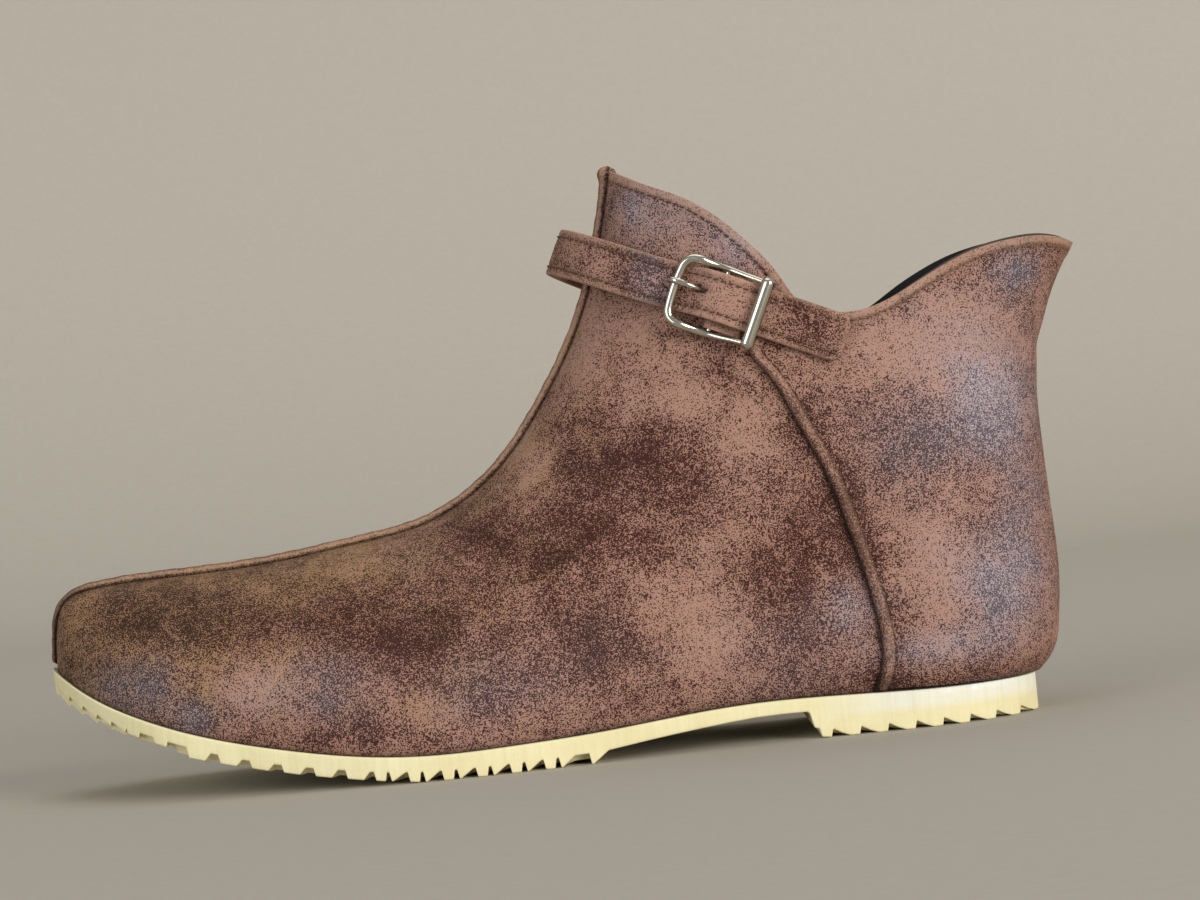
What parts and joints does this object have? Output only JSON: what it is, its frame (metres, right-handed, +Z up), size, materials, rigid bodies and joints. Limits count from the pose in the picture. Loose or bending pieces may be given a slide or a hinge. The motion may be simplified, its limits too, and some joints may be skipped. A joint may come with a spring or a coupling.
{
  "type": "renaissance ankle boot",
  "caption": "Left leather ankle boot with a piped centre seam, peaked collar, wrap-over back quarter, buckled strap and a ribbed cream rubber sole.",
  "frame": {"origin": "middle of the boot's box, on the floor under the sole", "axes": "toe along -X, heel along +X, outer (buckle) side along -Y, +Z up"},
  "size_m": [0.3032, 0.0938, 0.1656],
  "materials": {
    "sole_rubber": "matte moulded cream",
    "insole_board": "matte black lining cloth",
    "upper_leather": "clouded, speckled brown, low sheen",
    "buckle_nickel": "polished nickel"
  },
  "bodies": {
    "root": {"outsole": "sole_rubber", "insole": "insole_board", "upper": "upper_leather", "back_quarter": "upper_leather", "front_piping": "upper_leather", "strap": "upper_leather", "buckle_tab": "upper_leather", "buckle_frame": "buckle_nickel", "buckle_prong": "buckle_nickel"}
  },
  "joints": []
}
